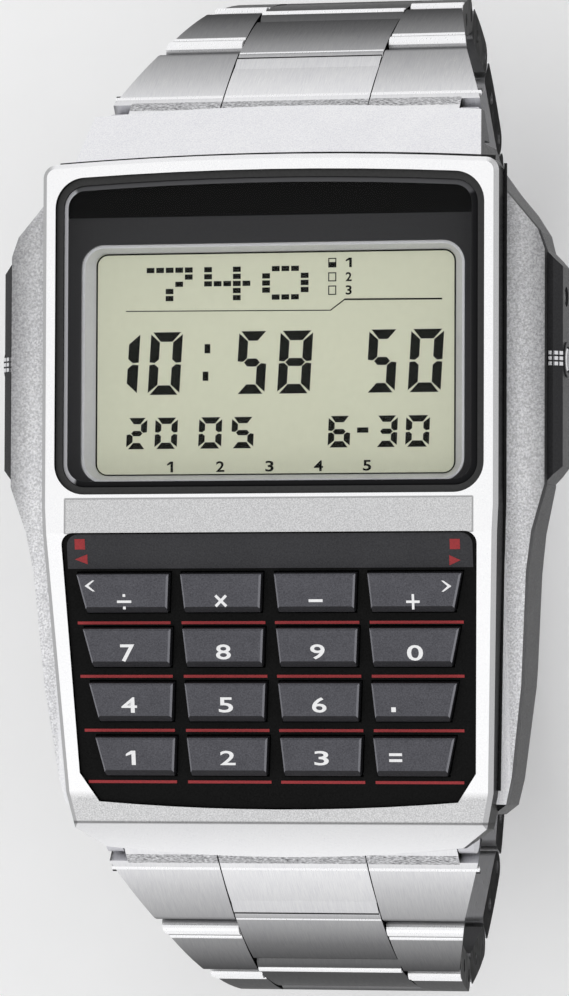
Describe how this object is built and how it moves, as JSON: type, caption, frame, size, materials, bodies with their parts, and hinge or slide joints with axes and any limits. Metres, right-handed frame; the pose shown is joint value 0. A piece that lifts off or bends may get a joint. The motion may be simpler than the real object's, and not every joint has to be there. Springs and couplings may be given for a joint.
{
  "type": "calculator watch",
  "caption": "Digital calculator wristwatch: black case with a silver frame, a display above a sloped keypad, side pushers, and a tapering link bracelet with a folding clasp.",
  "frame": {"origin": "centre of the case back's outer face", "axes": "+X towards 3 o'clock, +Y towards 12 o'clock, +Z out of the display"},
  "size_m": [0.0378, 0.0684, 0.0449],
  "materials": {
    "polished_silver": "polished",
    "satin_silver": "satin",
    "crystal": "clear",
    "black_rubber": "matte",
    "grey_rubber": "matte",
    "black_print": "satin",
    "liquid_crystal": "satin",
    "light_guide": "matte",
    "module_plastic": "matte",
    "circuit_board": "satin",
    "chip_black": "matte",
    "battery_steel": "satin",
    "brass": "satin",
    "steel": "brushed",
    "black_resin": "satin",
    "key_grey": "grained",
    "button_silver": "knurled",
    "brushed_link": "brushed"
  },
  "bodies": {
    "case": {"case_body": "black_resin", "top_cover": "satin_silver", "bezel": "polished_silver", "crystal": "crystal", "crystal_gasket": "black_rubber", "display_mask": "black_print", "display_trim": "satin_silver", "lcd_panel": "liquid_crystal", "backlight_panel": "light_guide", "module_frame": "module_plastic", "circuit_board": "circuit_board", "lcd_connectors": "grey_rubber", "board_components": "chip_black", "battery": "battery_steel", "battery_clip": "battery_steel", "buzzer_disc": "brass", "case_back": "steel", "case_back_gasket": "black_rubber", "case_back_screws": "steel", "keypad_plate": "black_print", "keypad_membrane": "grey_rubber", "side_guard_left": "black_resin", "side_guard_right": "black_resin", "button_seals": "black_rubber", "spring_bars": "steel"},
    "key_0": {"key_0": "key_grey"},
    "key_1": {"key_1": "key_grey"},
    "key_2": {"key_2": "key_grey"},
    "key_3": {"key_3": "key_grey"},
    "key_4": {"key_4": "key_grey"},
    "key_5": {"key_5": "key_grey"},
    "key_6": {"key_6": "key_grey"},
    "key_7": {"key_7": "key_grey"},
    "key_8": {"key_8": "key_grey"},
    "key_9": {"key_9": "key_grey"},
    "key_divide": {"key_divide": "key_grey"},
    "key_multiply": {"key_multiply": "key_grey"},
    "key_minus": {"key_minus": "key_grey"},
    "key_plus": {"key_plus": "key_grey"},
    "key_point": {"key_point": "key_grey"},
    "key_equals": {"key_equals": "key_grey"},
    "mode_button": {"mode_button": "button_silver"},
    "adjust_button": {"adjust_button": "button_silver"},
    "format_button": {"format_button": "button_silver"},
    "light_button": {"light_button": "button_silver"},
    "upper_link_1": {"upper_link_1": "brushed_link"},
    "upper_link_2": {"upper_link_2": "brushed_link"},
    "upper_link_3": {"upper_link_3": "brushed_link"},
    "upper_link_4": {"upper_link_4": "brushed_link"},
    "upper_link_5": {"upper_link_5": "brushed_link"},
    "upper_link_6": {"upper_link_6": "brushed_link"},
    "lower_link_1": {"lower_link_1": "brushed_link"},
    "lower_link_2": {"lower_link_2": "brushed_link"},
    "lower_link_3": {"lower_link_3": "brushed_link"},
    "lower_link_4": {"lower_link_4": "brushed_link"},
    "lower_link_5": {"lower_link_5": "brushed_link"},
    "lower_link_6": {"lower_link_6": "brushed_link"},
    "clasp_cover": {"clasp_cover": "brushed_link"},
    "clasp_outer_leaf": {"clasp_outer_leaf": "brushed_link"},
    "clasp_inner_leaf": {"clasp_inner_leaf": "brushed_link"}
  },
  "joints": [
    {"name": "key_0_press", "type": "slide", "parent": "case", "child": "key_0", "axis": [0, 0.1857, -0.9826], "range_m": [0, 0.0005], "stiffness_N_per_m": 1500},
    {"name": "key_1_press", "type": "slide", "parent": "case", "child": "key_1", "axis": [0, 0.1857, -0.9826], "range_m": [0, 0.0005], "stiffness_N_per_m": 1500},
    {"name": "key_2_press", "type": "slide", "parent": "case", "child": "key_2", "axis": [0, 0.1857, -0.9826], "range_m": [0, 0.0005], "stiffness_N_per_m": 1500},
    {"name": "key_3_press", "type": "slide", "parent": "case", "child": "key_3", "axis": [0, 0.1857, -0.9826], "range_m": [0, 0.0005], "stiffness_N_per_m": 1500},
    {"name": "key_4_press", "type": "slide", "parent": "case", "child": "key_4", "axis": [0, 0.1857, -0.9826], "range_m": [0, 0.0005], "stiffness_N_per_m": 1500},
    {"name": "key_5_press", "type": "slide", "parent": "case", "child": "key_5", "axis": [0, 0.1857, -0.9826], "range_m": [0, 0.0005], "stiffness_N_per_m": 1500},
    {"name": "key_6_press", "type": "slide", "parent": "case", "child": "key_6", "axis": [0, 0.1857, -0.9826], "range_m": [0, 0.0005], "stiffness_N_per_m": 1500},
    {"name": "key_7_press", "type": "slide", "parent": "case", "child": "key_7", "axis": [0, 0.1857, -0.9826], "range_m": [0, 0.0005], "stiffness_N_per_m": 1500},
    {"name": "key_8_press", "type": "slide", "parent": "case", "child": "key_8", "axis": [0, 0.1857, -0.9826], "range_m": [0, 0.0005], "stiffness_N_per_m": 1500},
    {"name": "key_9_press", "type": "slide", "parent": "case", "child": "key_9", "axis": [0, 0.1857, -0.9826], "range_m": [0, 0.0005], "stiffness_N_per_m": 1500},
    {"name": "key_divide_press", "type": "slide", "parent": "case", "child": "key_divide", "axis": [0, 0.1857, -0.9826], "range_m": [0, 0.0005], "stiffness_N_per_m": 1500},
    {"name": "key_multiply_press", "type": "slide", "parent": "case", "child": "key_multiply", "axis": [0, 0.1857, -0.9826], "range_m": [0, 0.0005], "stiffness_N_per_m": 1500},
    {"name": "key_minus_press", "type": "slide", "parent": "case", "child": "key_minus", "axis": [0, 0.1857, -0.9826], "range_m": [0, 0.0005], "stiffness_N_per_m": 1500},
    {"name": "key_plus_press", "type": "slide", "parent": "case", "child": "key_plus", "axis": [0, 0.1857, -0.9826], "range_m": [0, 0.0005], "stiffness_N_per_m": 1500},
    {"name": "key_point_press", "type": "slide", "parent": "case", "child": "key_point", "axis": [0, 0.1857, -0.9826], "range_m": [0, 0.0005], "stiffness_N_per_m": 1500},
    {"name": "key_equals_press", "type": "slide", "parent": "case", "child": "key_equals", "axis": [0, 0.1857, -0.9826], "range_m": [0, 0.0005], "stiffness_N_per_m": 1500},
    {"name": "mode_button_press", "type": "slide", "parent": "case", "child": "mode_button", "axis": [1, 0, 0], "range_m": [0, 0.0004], "stiffness_N_per_m": 2500},
    {"name": "adjust_button_press", "type": "slide", "parent": "case", "child": "adjust_button", "axis": [1, 0, 0], "range_m": [0, 0.0003], "stiffness_N_per_m": 2500},
    {"name": "format_button_press", "type": "slide", "parent": "case", "child": "format_button", "axis": [-1, 0, 0], "range_m": [0, 0.0004], "stiffness_N_per_m": 2500},
    {"name": "light_button_press", "type": "slide", "parent": "case", "child": "light_button", "axis": [-1, 0, 0], "range_m": [0, 0.0003], "stiffness_N_per_m": 2500},
    {"name": "upper_link_1_hinge", "type": "hinge", "parent": "case", "child": "upper_link_1", "pos_m": [0, 0.02335, 0.00398], "axis": [1, 0, 0], "range_deg": [0, 48]},
    {"name": "upper_link_2_hinge", "type": "hinge", "parent": "upper_link_1", "child": "upper_link_2", "pos_m": [0, 0.02798, -0.00154], "axis": [1, 0, 0], "range_deg": [0, 20]},
    {"name": "upper_link_3_hinge", "type": "hinge", "parent": "upper_link_2", "child": "upper_link_3", "pos_m": [0, 0.0315, -0.00816], "axis": [1, 0, 0], "range_deg": [0, 24]},
    {"name": "upper_link_4_hinge", "type": "hinge", "parent": "upper_link_3", "child": "upper_link_4", "pos_m": [0, 0.03306, -0.01549], "axis": [1, 0, 0], "range_deg": [0, 36]},
    {"name": "upper_link_5_hinge", "type": "hinge", "parent": "upper_link_4", "child": "upper_link_5", "pos_m": [0, 0.03099, -0.0227], "axis": [1, 0, 0], "range_deg": [0, 36]},
    {"name": "upper_link_6_hinge", "type": "hinge", "parent": "upper_link_5", "child": "upper_link_6", "pos_m": [0, 0.02578, -0.0281], "axis": [1, 0, 0], "range_deg": [0, 34]},
    {"name": "lower_link_1_hinge", "type": "hinge", "parent": "case", "child": "lower_link_1", "pos_m": [0, -0.02335, 0.00398], "axis": [-1, 0, 0], "range_deg": [0, 48]},
    {"name": "lower_link_2_hinge", "type": "hinge", "parent": "lower_link_1", "child": "lower_link_2", "pos_m": [0, -0.02798, -0.00154], "axis": [-1, 0, 0], "range_deg": [0, 20]},
    {"name": "lower_link_3_hinge", "type": "hinge", "parent": "lower_link_2", "child": "lower_link_3", "pos_m": [0, -0.0315, -0.00816], "axis": [-1, 0, 0], "range_deg": [0, 24]},
    {"name": "lower_link_4_hinge", "type": "hinge", "parent": "lower_link_3", "child": "lower_link_4", "pos_m": [0, -0.03306, -0.01549], "axis": [-1, 0, 0], "range_deg": [0, 36]},
    {"name": "lower_link_5_hinge", "type": "hinge", "parent": "lower_link_4", "child": "lower_link_5", "pos_m": [0, -0.03099, -0.0227], "axis": [-1, 0, 0], "range_deg": [0, 36]},
    {"name": "lower_link_6_hinge", "type": "hinge", "parent": "lower_link_5", "child": "lower_link_6", "pos_m": [0, -0.02578, -0.0281], "axis": [-1, 0, 0], "range_deg": [0, 34]},
    {"name": "clasp_cover_hinge", "type": "hinge", "parent": "lower_link_6", "child": "clasp_cover", "pos_m": [0, -0.01873, -0.03066], "axis": [-1, 0, 0], "range_deg": [0, 100]},
    {"name": "clasp_outer_leaf_hinge", "type": "hinge", "parent": "clasp_cover", "child": "clasp_outer_leaf", "pos_m": [0, 0.01613, -0.03062], "axis": [-1, 0, 0], "range_deg": [0, 80]},
    {"name": "clasp_inner_leaf_hinge", "type": "hinge", "parent": "clasp_outer_leaf", "child": "clasp_inner_leaf", "pos_m": [0, -0.01293, -0.03105], "axis": [1, 0, 0], "range_deg": [0, 60]}
  ]
}
